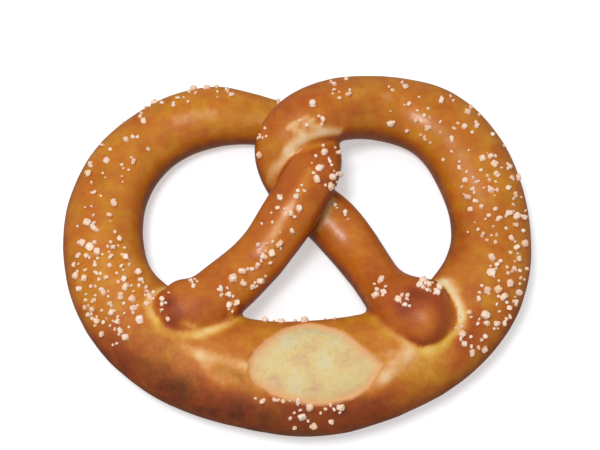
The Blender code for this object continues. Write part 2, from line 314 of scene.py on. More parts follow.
def sweep_tree():
    """Sweeps a section along the chain of points."""
    inputs = [("Corners", "NodeSocketInt"), ("Base squareness", "NodeSocketFloat")]
    tree, given, result = new_shape_tree("sweep the rope", inputs)
    curve = add(tree, "GeometryNodeMeshToCurve", {"Mesh": given.outputs["Geometry"]})
    corners = given.outputs["Corners"]
    circle = add(tree, "GeometryNodeCurvePrimitiveCircle", {"Resolution": corners, "Radius": 1.0})
    place = add(tree, "GeometryNodeInputPosition").outputs[0]
    marked = add(
        tree,
        "GeometryNodeStoreNamedAttribute",
        {"Geometry": circle.outputs["Curve"], "Name": "section", "Value": place},
        data_type="FLOAT_VECTOR",
    )
    skin = add(
        tree,
        "GeometryNodeCurveToMesh",
        {"Curve": curve.outputs[0], "Profile Curve": marked.outputs[0], "Fill Caps": True},
    )
    stored = {}
    for names, kind in ((STORED_NUMBERS, "FLOAT"), (STORED_VECTORS, "FLOAT_VECTOR")):
        for name in names:
            node = add(tree, "GeometryNodeInputNamedAttribute", {"Name": name}, data_type=kind)
            stored[name] = node.outputs["Attribute"]
    section = add(tree, "ShaderNodeSeparateXYZ", [stored["section"]])
    across, height = section.outputs[0], section.outputs[1]
    below = add(tree, "ShaderNodeMath", [height, 0.0], operation="LESS_THAN").outputs[0]
    squareness = given.outputs["Base squareness"]
    round_power = add(tree, "ShaderNodeMath", [2.0, squareness], operation="DIVIDE").outputs[0]
    drop = add(tree, "ShaderNodeMath", [round_power, 1.0], operation="SUBTRACT").outputs[0]
    power = add(tree, "ShaderNodeMath", [below, drop, 1.0], operation="MULTIPLY_ADD").outputs[0]
    place = stored["centre"]
    sides = ((across, "half_width", "outward"), (height, "half_height", "upward"))
    for share, size, direction in sides:
        pushed = squared(tree, share, power)
        reach = add(tree, "ShaderNodeMath", [pushed, stored[size]], operation="MULTIPLY").outputs[0]
        scaled = {0: stored[direction], "Scale": reach}
        step = add(tree, "ShaderNodeVectorMath", scaled, operation="SCALE").outputs[0]
        place = add(tree, "ShaderNodeVectorMath", [place, step], operation="ADD").outputs[0]
    table = (-1.0, -1.0, 0.0)
    above = add(tree, "ShaderNodeVectorMath", [place, table], operation="MAXIMUM").outputs[0]
    moved = add(tree, "GeometryNodeSetPosition", {"Geometry": skin.outputs[0], "Position": above})
    return dress(tree, moved.outputs[0], given, result)


# %% [markdown]
# A modifier's inputs are set by each socket's identifier before Blender first evaluates the object.
# Then the evaluated shape is copied into a plain mesh, and the modifier goes. Each later step that
# uses a modifier does the same, so one function does it for all of them.

# %% Run a tree


def linked(name, mesh):
    """A new object for a mesh, in the scene."""
    thing = bpy.data.objects.new(name, mesh)
    bpy.context.scene.collection.objects.link(thing)
    return thing


def settle(thing):
    """Turns an object and its modifiers into a plain mesh."""
    bpy.context.view_layer.update()
    evaluated = thing.evaluated_get(bpy.context.evaluated_depsgraph_get())
    mesh = bpy.data.meshes.new_from_object(evaluated)
    thing.modifiers.clear()
    thing.data = mesh
    mesh.name = thing.name


def grow(thing, tree, **values):
    """Runs a tree on an object, with its named inputs set, and keeps the result."""
    modifier = thing.modifiers.new(tree.name, "NODES")
    modifier.node_group = tree
    for socket in tree.interface.items_tree:
        label = socket.name.lower().replace(" ", "_")
        if socket.in_out == "INPUT" and label in values:
            modifier[socket.identifier] = values[label]
    settle(thing)
    bpy.data.node_groups.remove(tree)


crust = bpy.data.materials.new("browned lye crust")
pretzel = linked("pretzel_dough", middle_line())
grow(pretzel, sweep_tree(), corners=SECTION_CORNERS, base_squareness=BASE_SQUARENESS, material=crust)
print("Swept skin:", len(pretzel.data.vertices), "points")

# %% [markdown]
# ## Fuse the strands
#
# In the oven the strands rise against each other and grow together where they touch. A voxel remesh
# does the same: it keeps only the outside of everything, as one closed surface of even little faces.
# A Boolean union would leave long thin faces along the seams, which can't be softened afterwards.

# %% Fuse
VOXEL = 0.77


def fuse(thing, voxel):
    """Replaces a mesh that runs through itself with one closed surface."""
    remesh = thing.modifiers.new("fuse", "REMESH")
    remesh.mode = "VOXEL"
    remesh.voxel_size = voxel * MM
    settle(thing)


def points_of(mesh):
    """A mesh's points in millimetres."""
    flat = np.empty(len(mesh.vertices) * 3)
    mesh.vertices.foreach_get("co", flat)
    return flat.reshape(-1, 3) / MM


def normals_of(mesh):
    """The way out at each of a mesh's points."""
    flat = np.empty(len(mesh.vertices) * 3)
    mesh.vertex_normals.foreach_get("vector", flat)
    return flat.reshape(-1, 3)


def put_points(mesh, points):
    """Moves a mesh's points to places in millimetres."""
    mesh.vertices.foreach_set("co", (points * MM).ravel())
    mesh.update()


fuse(pretzel, VOXEL)
pretzel.data.materials.clear()
pretzel.data.materials.append(crust)
print("Fused skin:", len(pretzel.data.vertices), "points", len(pretzel.data.polygons), "faces")

# %% [markdown]
# ## Where each point lies on the rope
#
# Browning, splits and salt follow the rope, so each point of the fused skin is given its place along
# the rope, its angle round it, and its distance from any other strand. The angle is 0 on top and grows
# towards the loop's outer side. For each point the nearest section of the rope is searched, and then
# the nearest section among those that aren't its neighbours.

# %% Rope coordinates
NEIGHBOUR_STRETCH = 40.0
POINTS_AT_ONCE = 4000
ALMOST_NOTHING = 0.01
OUT_OF_REACH = 1000.0


def rope_coordinates(points):
    """Place along the rope, angle round it, distance to another strand, and that strand's place."""
    columns = [[], [], [], []]
    for start in range(0, len(points), POINTS_AT_ONCE):
        reach = points[start : start + POINTS_AT_ONCE, None, :] - rope.middle
        ahead = np.einsum("ijk,jk->ij", reach, rope.ahead)
        across = np.einsum("ijk,jk->ij", reach, rope.outward)
        height = np.einsum("ijk,jk->ij", reach, rope.upward)
        scaled = np.sqrt((across / rope.half_width) ** 2 + (height / rope.half_height) ** 2)
        size = np.sqrt(across**2 + height**2) * (1 - 1 / np.maximum(scaled, ALMOST_NOTHING))
        away = np.where(size < 0, size + np.abs(ahead), np.hypot(size, ahead))
        nearest = away.argmin(axis=1)
        row = np.arange(len(nearest))
        place = rope.along[nearest]
        far = np.abs(rope.along[None, :] - place[:, None]) > NEIGHBOUR_STRETCH
        elsewhere = np.where(far, away, OUT_OF_REACH)
        other = elsewhere.argmin(axis=1)
        columns[0].append(place + ahead[row, nearest])
        share = across[row, nearest] / rope.half_width[nearest]
        columns[1].append(np.degrees(np.arctan2(share, height[row, nearest] / rope.half_height[nearest])))
        columns[2].append(elsewhere[row, other])
        columns[3].append(rope.along[other])
    return [np.concatenate(column) for column in columns]


along, angle, seam, seam_along = rope_coordinates(points_of(pretzel.data))
print("Points within 3 mm of another strand:", int((seam < 3).sum()))

# %% [markdown]
# ## Soften the seams
#
# Where soft dough meets soft dough the groove between them is rounded, never a sharp crease. Each
# point near another strand is moved towards the middle of its neighbours, again and again, and the
# rest of the skin only three times, which takes away the small steps that a voxel remesh leaves.

# %% Soften
SEAM_REACH = 2.4
SEAM_ROUNDS = 14
ALL_OVER_ROUNDS = 3
STEP_SHARE = 0.5
BASE_LEVEL = 0.2


def neighbour_middles(points, edges):
    """The middle of each point's neighbours."""
    first, second = edges.T
    count = np.bincount(first, minlength=len(points)) + np.bincount(second, minlength=len(points))
    sums = [
        np.bincount(first, column[second], len(points)) + np.bincount(second, column[first], len(points))
        for column in points.T
    ]
    return np.column_stack(sums) / count[:, None]


def edges_of(mesh):
    """A mesh's edges as pairs of point numbers."""
    flat = np.empty(len(mesh.edges) * 2, dtype=np.int32)
    mesh.edges.foreach_get("vertices", flat)
    return flat.reshape(-1, 2)


def soften(mesh, seam):
    """Rounds the seams, and smooths the whole skin a little. The flat base stays flat."""
    points = points_of(mesh)
    edges = edges_of(mesh)
    on_base = points[:, 2] < BASE_LEVEL
    near_seam = np.exp(-((seam / SEAM_REACH) ** 2))
    for turn in range(SEAM_ROUNDS):
        share = STEP_SHARE * (1.0 if turn < ALL_OVER_ROUNDS else near_seam)
        step = (neighbour_middles(points, edges) - points) * np.reshape(share, (-1, 1))
        step[on_base, 2] = 0.0
        points += step
    put_points(mesh, points)


soften(pretzel.data, seam)
print("Seam points softened:", int((seam < SEAM_REACH).sum()))

# %% [markdown]
# ## The split
#
# Before baking, the baker slashes the thick belly. The cut opens into a lens of bare, pale crumb,
# whose crust edge stands up a little all round. The lens is drawn on the unrolled rope: at each place
# along it, the angles of its back and front edges. Every point's distance to that outline, in
# millimetres of crust, then drives the lip, the step down to the crumb, and later the colours.

# %% Split outline
SPLIT_OUTLINE = [
    (285.6, -1.0, 1.5), (287.0, -14.0, 12.0), (289.8, -27.0, 20.5), (294.0, -42.0, 27.5),
    (299.3, -53.0, 32.5), (306.8, -60.0, 38.0), (314.8, -48.0, 38.0), (320.8, -33.0, 34.0),
    (325.4, -11.0, 25.0), (328.3, 2.0, 16.0), (329.7, 10.0, 12.0),
]
CRUST_PER_DEGREE = 0.30
OUTLINE_POINTS = 120
OUTLINE_END_POINTS = 20
SEARCHED_ALONG = 45.0
SEARCHED_ABOVE = 2.0
FAR_OUTSIDE = -30.0
TORN_EDGE = 0.45
TORN_EDGE_SIZE = 3.0


def split_distance(points, along, angle):
    """How far inside the split's outline each point lies, in millimetres. Outside is negative."""
    outline = np.array(SPLIT_OUTLINE)
    places = np.linspace(outline[0, 0], outline[-1, 0], OUTLINE_POINTS)
    edges = smooth_course(outline[:, 1:], outline[:, 0], places)
    ends = [np.linspace(*row, OUTLINE_END_POINTS) for row in (edges[0], edges[-1])]
    sides = [np.full(OUTLINE_END_POINTS, place) for place in places[[0, -1]]]
    rim_along = np.concatenate([places, places, *sides])
    rim_angle = np.concatenate([edges[:, 0], edges[:, 1], *ends])
    rim = np.column_stack([rim_along, rim_angle * CRUST_PER_DEGREE])
    distance = np.full(len(points), FAR_OUTSIDE)
    on_belly = np.abs(along - np.mean(places[[0, -1]])) < SEARCHED_ALONG
    near = np.flatnonzero(on_belly & (points[:, 2] > SEARCHED_ABOVE))
    here = np.column_stack([along[near], angle[near] * CRUST_PER_DEGREE])
    gaps = np.linalg.norm(here[:, None, :] - rim[None, :, :], axis=2).min(axis=1)
    back, front = (np.interp(along[near], places, edge) for edge in edges.T)
    within = (angle[near] > back) & (angle[near] < front)
    within &= (along[near] > places[0]) & (along[near] < places[-1])
    torn = [noise.noise(Vector(point) / TORN_EDGE_SIZE) * TORN_EDGE for point in points[near]]
    distance[near] = np.where(within, gaps, -gaps) + torn
    return distance


split = split_distance(points_of(pretzel.data), along, angle)
print("Points inside the split:", int((split > 0).sum()))

# %% Open the split
LIP_HEIGHT = 0.22
LIP_WIDTH = 1.3
LIP_PLACE = -0.6
CRUMB_DEPTH = 1.0
CRUMB_STEP = (-0.1, 0.9)
CRUMB_BULGE = 0.55
CRUMB_BULGE_BAND = (0.5, 7.0)
CRUMB_ROUGHNESS = 0.22
CRUMB_GRAIN = 2.2
CRUMB_FRACTAL = (1.0, 2.0, 3)
PITTED_BAND = (0.3, 2.0)


def smooth_step(value, low, high):
    """0 below low, 1 above high, and an even curve between them."""
    share = np.clip((value - low) / (high - low), 0.0, 1.0)
    return share * share * (3 - 2 * share)


def open_split(mesh, split):
    """Raises the lip, steps down to the crumb, and makes the crumb uneven."""
    points = points_of(mesh)
    out = normals_of(mesh)
    lip = LIP_HEIGHT * np.exp(-(((split - LIP_PLACE) / LIP_WIDTH) ** 2))
    down = CRUMB_DEPTH * smooth_step(split, *CRUMB_STEP)
    bulge = CRUMB_BULGE * smooth_step(split, *CRUMB_BULGE_BAND)
    inside = np.flatnonzero(split > 0)
    pits = np.zeros(len(points))
    pits[inside] = [noise.fractal(Vector(p) / CRUMB_GRAIN, *CRUMB_FRACTAL) for p in points[inside]]
    pits *= CRUMB_ROUGHNESS * smooth_step(split, *PITTED_BAND)
    put_points(mesh, points + out * (lip - down + bulge + pits)[:, None])


open_split(pretzel.data, split)
print("The split is", CRUMB_DEPTH, "mm deep at its rim")

# %% [markdown]
# ## Folds, creases, spots and painted highlights
#
# When the split opens it drags the crust along, so low folds fan out from both of its tips; their pale
# peach is partly the dough's own colour and partly a painted highlight on their ridges. The twist is
# stretched pale on its bend, with small blisters beside the streak, painted paler in part as a highlight
# that they break up. A pale crescent shows behind the right knob, the left knob has a scorched spot, and
# a pale line runs where the right arm comes out from under the left. The paler streaks along the arms
# and the loop tops are painted highlights, and so are the pale spots on the knobs, the left one in part.
# Each mark is a short line of places on the rope, with a width, a height, and how much it makes the
# crust browner and yellower. A mark's distance is measured over the crust, so it keeps its width
# wherever the rope bends.

# %% Marks on the crust
# Raised folds whose pale peach is partly a painted highlight on their ridges.
FOLDS_AND_HIGHLIGHTS_LEFT_OF_SPLIT = [
    ([(264, 4), (269, 4), (273, 6), (278, 2), (285, 5)], 2.0, 0.20, -0.24, -0.6),
    ([(284, 4), (286, 3)], 1.2, 0.10, -0.14, 0.0),
    ([(269, 7), (274, 20), (279, 27)], 1.7, 0.12, -0.19, -0.8),
    ([(277, 13), (284, 15)], 1.7, 0.0, 0.12, 0.9),
]
# The same on the right: raised folds, their paleness partly a painted highlight.
FOLDS_AND_HIGHLIGHTS_RIGHT_OF_SPLIT = [
    ([(339, 8), (334, 14), (329, 24)], 2.8, 0.30, -0.22, -0.7),
    ([(329, 24), (324, 35)], 2.3, 0.20, -0.19, -1.0),
    ([(330, 3), (334, 1)], 1.1, 0.10, -0.10, -0.3),
    ([(331, 8), (331, 10)], 1.2, -0.15, 0.05, 0.6),
]
STRETCHED_BEND = [
    ([(492, -70), (497, -60), (503, -50), (507, -42), (512, -27)], 2.4, 0.15, -0.50, -0.3),
    ([(512, -27), (516, -2), (519, 30), (522, 60)], 1.5, 0.0, -0.26, -0.2),
    ([(508, -10), (512, 12), (515, 38)], 3.0, 0.0, -0.02, 0.6),
]
# Raised blisters, painted paler in part as the highlight that they break up.
BLISTERS_AND_HIGHLIGHT_ON_BEND = [
    ([(506, -6), (504, -8)], 1.1, 0.16, -0.26, -0.7),
    ([(503, -14), (500, -12)], 1.1, 0.18, -0.22, -0.7),
    ([(502, -26), (499, -24)], 1.0, 0.18, -0.24, -0.7),
    ([(505, -20), (504, -32)], 1.2, 0.10, -0.24, -0.6),
    ([(500, -36), (498, -42)], 1.2, 0.14, -0.22, -0.5),
]
CREASE_BEHIND_KNOB = [
    ([(28, -35), (25, 8), (22, 38), (19, 62)], 1.1, -0.45, -0.03, 0.2),
]
KNOB_SPOTS_AND_HIGHLIGHTS = [
    ([(4.5, 2), (6.5, 18), (7, 36)], 3.7, -0.10, 0.27, -0.8),
    # A pale spot at the left knob's foot, by the ring, partly a painted highlight.
    ([(9.5, 42), (11, 50)], 1.4, 0.0, -0.34, -0.6),
    ([(603.5, 22), (603.5, 48)], 3.6, 0.60, 0.00, -0.9),
    # A painted highlight on the right knob.
    ([(602, 16), (603, 30), (603, 44)], 2.8, 0.0, -0.12, -0.3),
    ([(597, -6), (597, 14)], 3.2, -0.30, 0.15, 0.1),
    ([(597, -20), (606, -10), (607, 40), (602, 66)], 2.4, 0.0, 0.10, -0.6),
    ([(20, 72), (22, 46)], 1.5, 0.0, -0.28, -0.1),
]
LEFT_ARM_PAINTED_HIGHLIGHT = [
    # A painted highlight along the top of the left arm.
    ([(75, -1), (66, 1), (56, 6), (47, 11)], 1.9, 0.0, -0.20, -0.5),
]
LOOP_PAINTED_HIGHLIGHT = [
    # Painted highlights along the top of the left loop, then of the right loop.
    ([(153, -8), (145, -11), (139, -13)], 2.4, 0.0, -0.13, -0.6),
    ([(168, 0), (155, -7)], 2.2, 0.0, -0.04, -0.2),
    ([(470, 1), (463, -1), (456, -4)], 2.6, 0.0, -0.10, -0.7),
    ([(490, 2), (480, 2)], 2.5, 0.0, -0.06, -0.2),
]
RIGHT_ARM_LINE_AND_HIGHLIGHT = [
    ([(543, -28), (545, -7), (546, 15), (547, 45)], 1.2, 0.20, -0.26, -0.2),
    ([(541, 0), (548, 8)], 4.5, 0.0, -0.10, 0.1),
    # A painted highlight on the top of the right arm.
    ([(560, 2), (567, 9)], 4.5, 0.0, -0.09, 0.1),
]
CRESCENT_AT_KNOB = [
    ([(369, -40), (367, -20), (364, -8), (361, 3)], 2.4, 0.20, -0.25, -0.7),
    ([(361, 3), (357, 12)], 1.8, 0.10, -0.14, 0.2),
]
BELLY_SPOTS = [
    ([(352, 48), (356, 32), (363, 24)], 3.8, 0.0, 0.18, -0.9),
    ([(260, 44), (270, 48)], 6.0, 0.0, -0.06, 0.3),
    ([(256, 74), (262, 80)], 6.0, 0.0, -0.08, 0.0),
    ([(252, 22), (262, 26)], 6.0, 0.0, 0.05, 0.3),
    ([(382, -46), (402, -52)], 6.0, 0.0, 0.10, 0.0),
    ([(340, 44), (350, 50)], 6.5, 0.0, -0.10, 0.3),
    ([(268, 54), (284, 60)], 5.0, 0.0, 0.08, 0.0),
]
CRUST_ONLY = (-0.6, 0.2)
MARKS = FOLDS_AND_HIGHLIGHTS_LEFT_OF_SPLIT + FOLDS_AND_HIGHLIGHTS_RIGHT_OF_SPLIT + STRETCHED_BEND + CREASE_BEHIND_KNOB
MARKS += BLISTERS_AND_HIGHLIGHT_ON_BEND + KNOB_SPOTS_AND_HIGHLIGHTS + LEFT_ARM_PAINTED_HIGHLIGHT + LOOP_PAINTED_HIGHLIGHT + RIGHT_ARM_LINE_AND_HIGHLIGHT
MARKS += CRESCENT_AT_KNOB + BELLY_SPOTS


def over_crust(along, angle):
    """Places on the rope as millimetres along it and round it."""
    half_width = np.interp(along, rope.along, rope.half_width)
    half_height = np.interp(along, rope.along, rope.half_height)
    return np.column_stack([along, np.radians(angle) * (half_width + half_height) / 2])


def distance_to_mark(along, angle, line):
    """How far each point of the skin is from a line of places, over the crust."""
    here = over_crust(along, angle)
    corners = over_crust(*np.array(line, dtype=float).T)
    best = np.full(len(here), np.inf)
    for start, end in zip(corners[:-1], corners[1:]):
        step = end - start
        share = np.clip((here - start) @ step / (step @ step), 0.0, 1.0)
        gap = np.linalg.norm(here - start - share[:, None] * step, axis=1)
        best = np.minimum(best, gap)
    return best


def marked(along, angle, split):
    """What all marks together add to the skin's height, its browning with painted highlights, and its
    yellowness.
    """
    added = np.zeros((3, len(along)))
    outside = 1 - smooth_step(split, *CRUST_ONLY)
    for line, width, *changes in MARKS:
        strength = np.exp(-((distance_to_mark(along, angle, line) / width) ** 2)) * outside
        added += np.outer(changes, strength)
    return added


mark_height, mark_brown_and_highlight, mark_yellow = marked(along, angle, split)
points = points_of(pretzel.data)
put_points(pretzel.data, points + normals_of(pretzel.data) * mark_height[:, None])
print(len(MARKS), "marks; the skin rises by up to", round(float(mark_height.max()), 2), "mm")

# %% [markdown]
# ## Lumps
#
# Hand-rolled dough is never a perfect tube. A noise field in space, far larger than the skin's little
# faces, moves each point a few tenths of a millimetre along its normal. This is again a rule over a
# surface, so Geometry Nodes do it, with the size and height of the lumps as inputs. The base keeps to
# the table.

# %% Lumps
LUMP_SIZE = 14.0
LUMP_HEIGHT = 0.8
LUMP_SEED = 3.0
LUMP_DETAIL = 1.5
STILL_BELOW = 0.5
LUMPY_ABOVE = 5.0


def lump_tree():
    """Moves each point along its normal by a smooth noise."""
    inputs = [("Size", "NodeSocketFloat"), ("Height", "NodeSocketFloat"), ("Seed", "NodeSocketFloat")]
    tree, given, result = new_shape_tree("lumps in the dough", inputs)
    place = add(tree, "GeometryNodeInputPosition").outputs[0]
    scale = add(tree, "ShaderNodeMath", [1.0, given.outputs["Size"]], operation="DIVIDE").outputs[0]
    sockets = {"Vector": place, "W": given.outputs["Seed"], "Scale": scale, "Detail": LUMP_DETAIL}
    wave = add(tree, "ShaderNodeTexNoise", sockets, noise_dimensions="4D")
    centred = add(tree, "ShaderNodeMath", [wave.outputs[0], 0.5], operation="SUBTRACT").outputs[0]
    height = given.outputs["Height"]
    swing = add(tree, "ShaderNodeMath", [centred, height], operation="MULTIPLY").outputs[0]
    level = add(tree, "ShaderNodeSeparateXYZ", [place]).outputs[2]
    sockets = {"Value": level, "From Min": STILL_BELOW * MM, "From Max": LUMPY_ABOVE * MM}
    free = add(tree, "ShaderNodeMapRange", sockets).outputs[0]
    swing = add(tree, "ShaderNodeMath", [swing, free], operation="MULTIPLY").outputs[0]
    out = add(tree, "GeometryNodeInputNormal").outputs[0]
    offset = add(tree, "ShaderNodeVectorMath", {0: out, "Scale": swing}, operation="SCALE").outputs[0]
    sockets = {"Geometry": given.outputs["Geometry"], "Offset": offset}
    moved = add(tree, "GeometryNodeSetPosition", sockets)
    return dress(tree, moved.outputs[0], given, result)


lumps = {"size": LUMP_SIZE * MM, "height": LUMP_HEIGHT * MM, "seed": LUMP_SEED}
grow(pretzel, lump_tree(), **lumps, material=crust)
print("Lumps of", LUMP_HEIGHT, "mm over", LUMP_SIZE, "mm")

# %% [markdown]
# ## Browning and painted shade
#
# How brown a crust gets depends on where it is: the thin twist and the knobs stand high in the oven
# and go dark red-brown, the loops stay golden, and dough that was covered or stretched while it rose
# stays pale, as in the rings round both knobs. Browning is worked out for each point and stored on it,
# from 0 for raw-looking dough to 1 for the darkest crust. The same number also carries painted shade,
# which darkens the rope's steep sides and, along with real browning, the belly's front. Two more numbers
# are stored beside it: how yellow or red the crust is there, and how dull, because the belly and the
# knobs shine less. The material turns all three into a finish.

# %% Browning and painted shade
BROWNING_ALONG = [
    (0, 0.58), (14, 0.56), (24, 0.57), (32, 0.50), (52, 0.54), (70, 0.62),
    (92, 0.62), (106, 0.56), (120, 0.45), (140, 0.50), (160, 0.52), (196, 0.54),
    (225, 0.48), (245, 0.56), (280, 0.53), (320, 0.51), (346, 0.46), (375, 0.52),
    (436, 0.51), (465, 0.51), (485, 0.55), (502, 0.58), (516, 0.54), (541, 0.58),
    (572, 0.59), (588, 0.61), (600, 0.65), (607, 0.62),
]
BELLY_ENDS = (222.0, 262.0, 305.0, 378.0)
# The belly's front is darker: partly deeper browning, partly painted shade.
FRONT_BROWNING_AND_SHADE = 0.31
FRONT_BAND = (18.0, 50.0)
# Painted shade: off the belly, the rope's steep sides are darker as if turned away from the light.
SIDES_PAINTED_SHADE = 0.24
SIDES_SHADE_BAND = (52.0, 86.0)
UNDERSIDE_PALE = 0.24
SEAM_PALE = 0.24
SEAM_REACH_PALE = (0.8, 3.2)
BENEATH_BAND = (-2.0, 3.0)
TRAY_BAND = (0.3, 2.5)
KNOB_REACH = 32.0
KNOB_RING = (1.6, 4.2)
RING_PALE_ALONG = [
    (236, 0.22), (243, 0.40), (249, 0.42), (255, 0.18), (260, 0.16), (265, 0.36),
    (269, 0.46), (274, 0.40), (278, 0.18), (283, 0.00), (326, 0.00), (337, 0.04),
    (341, 0.16), (345, 0.28), (349, 0.16), (353, 0.28), (361, 0.36), (366, 0.36),
    (371, 0.32),
]
RING_YELLOW = 0.45
YELLOW_ALONG = [(0, -0.30), (95, -0.30), (115, 0.14), (480, 0.14), (495, -0.30), (607, -0.30)]
DULLNESS_ALONG = [
    (0, 0.32), (14, 0.22), (26, 0.0), (225, 0.0), (248, 0.32), (290, 0.26),
    (372, 0.20), (392, 0.0), (585, 0.0), (597, 0.13), (607, 0.15),
]
SPREAD_ROUNDS = 5
DEPTH_LIMIT = 20.0


def browning(points, along, angle, seam, seam_along):
    """How brown the crust is at each point, with painted shade added, and how yellow where it stayed
    pale.
    """
    brown = np.interp(along, *np.array(BROWNING_ALONG).T)
    # The belly's front browned deepest, and painted shade darkens it further as a side turned from the
    # light.
    left_from, left_to, right_from, right_to = BELLY_ENDS
    on_belly = smooth_step(along, left_from, left_to) * (1 - smooth_step(along, right_from, right_to))
    brown += FRONT_BROWNING_AND_SHADE * on_belly * smooth_step(angle, *FRONT_BAND)
    # Painted shade on the steep sides of the rope, off the belly.
    brown += SIDES_PAINTED_SHADE * smooth_step(np.abs(angle), *SIDES_SHADE_BAND) * (1 - on_belly)
    # Dough beneath another strand was covered while the rest browned.
    height = points[:, 2]
    other_height = np.interp(seam_along, rope.along, rope.middle[:, 2])
    own_height = np.interp(along, rope.along, rope.middle[:, 2])
    beneath = smooth_step(other_height - own_height, *BENEATH_BAND)
    at_knob = np.minimum(seam_along, rope.length - seam_along) < KNOB_REACH
    ring = beneath * at_knob * (1 - smooth_step(seam, *KNOB_RING))
    brown -= ring * np.interp(along, *np.array(RING_PALE_ALONG).T)
    brown -= SEAM_PALE * beneath * ~at_knob * (1 - smooth_step(seam, *SEAM_REACH_PALE))
    # The base touched the tray.
    brown -= UNDERSIDE_PALE * (1 - smooth_step(height, *TRAY_BAND))
    return brown, RING_YELLOW * ring + np.interp(along, *np.array(YELLOW_ALONG).T)


def spread(mesh, values, rounds):
    """Evens out a number between neighbouring points, so that no edge in it is jagged."""
    edges = edges_of(mesh)
    column = values[:, None]
    for _ in range(rounds):
        column = (column + neighbour_middles(column, edges)) / 2
    return column[:, 0]


def store(mesh, name, values):
    """Stores a number on each of a mesh's points, for materials to read."""
    mesh.attributes.new(name, "FLOAT", "POINT").data.foreach_set("value", values)


# Besides real browning, the stored browning holds painted shade and the marks' painted highlights.
brown, yellow = browning(points_of(pretzel.data), along, angle, seam, seam_along)
brown = np.clip(spread(pretzel.data, brown, SPREAD_ROUNDS) + mark_brown_and_highlight, 0.0, 1.0)
store(pretzel.data, "browning", brown)
yellow = np.clip(spread(pretzel.data, yellow, SPREAD_ROUNDS) + mark_yellow, -1.0, 1.0)
store(pretzel.data, "yellowness", yellow)
store(pretzel.data, "split", np.clip(split, -DEPTH_LIMIT, DEPTH_LIMIT))
store(pretzel.data, "dullness", np.interp(along, *np.array(DULLNESS_ALONG).T))
pretzel.data.shade_smooth()
print(f"Browning runs from {brown.min():.2f} to {brown.max():.2f}")

# %% [markdown]
# ## The crust
#
# Lye crust is a thin, hard, shiny skin over bread. It is mottled at three scales: broad drifts of
# darker and lighter brown where it was hotter, blotches inside them, and fine freckles from tiny
# blisters. One shader holds both crust and crumb, because they are one piece of dough. The stored
# browning picks a colour from an orange and an ochre ramp, and the stored yellowness blends the two.
# The distance inside the split then blends over to the matte, porous crumb, whose pores are darkened
# with painted shade. Pale dough shines less than brown crust, and the stored dullness takes more of the
# shine off the belly and the knobs.

# %% Crust material
# Each noise has a size in millimetres, a detail and a roughness.
CRUST_NOISES = {
    "drift": (15.0, 2.0, 0.5),
    "blotch": (5.0, 3.0, 0.5),
    "freckle": (1.6, 3.0, 0.6),
    "tint": (7.0, 4.0, 0.5),
    "pores": (1.7, 4.0, 0.6),
    "cloud": (8.0, 3.0, 0.5),
    "wrinkle": (1.2, 3.0, 0.5),
}
MOTTLING = {"drift": 0.30, "blotch": 0.28, "freckle": 0.16}
ORANGE_CRUST = [
    (0.00, "#efd9b2"), (0.15, "#e9bd88"), (0.30, "#da9b58"), (0.45, "#c6731d"),
    (0.60, "#b55b13"), (0.75, "#9b420f"), (0.90, "#762a0c"), (1.00, "#541c0a"),
]
OCHRE_CRUST = [
    (0.00, "#eedd9c"), (0.15, "#e6c46c"), (0.30, "#dba83c"), (0.45, "#cb8a1c"),
    (0.60, "#b8700f"), (0.75, "#99500a"), (0.90, "#70360a"), (1.00, "#4e2309"),
]
CRUMB = [(0.34, "#dbcc9c"), (0.47, "#dfc78a"), (0.58, "#dcbd86"), (0.68, "#d8b588")]
CRUMB_RIM = "#e2a873"
# Painted shade: the crumb is darkened in colour where its pores dip.
CRUMB_PIT_SHADE = [(0.30, "#c9a468"), (0.46, "#ffffff")]
PIT_SHADE_SHARE = 0.24
CRUMB_DULLNESS = 0.85
# A range turns its first two numbers into 0 and 1, or into its last two.
TINT_RANGE = (0.42, 0.62, 0.0, 0.62)
RIM_RANGE = (-0.5, 0.4)
TORN_RANGE = (0.3, 3.0)
GLOSS_RANGE = (0.3, 0.7, 0.25, 0.36)
PALE_AND_DULL = (0.20, 0.40, 0.28, 0.0)
BLISTERS = {"Distance": 0.12 * MM, "Strength": 0.3}
PORE_DEPTH = 0.4
CRUST_CONSTANTS = {
    "IOR": 1.45,
    "Specular IOR Level": 0.5,
    "Subsurface Weight": 0.06,
    "Subsurface Radius": (1.0, 0.45, 0.2),
    "Subsurface Scale": 1.5 * MM,
}


def shader_of(material, constants):
    """A material's node tree and its shader, with the shader's constants set."""
    material.use_nodes = True
    shader = material.node_tree.nodes["Principled BSDF"]
    for name, value in constants.items():
        shader.inputs[name].default_value = linear(value) if isinstance(value, str) else value
    return material.node_tree, shader


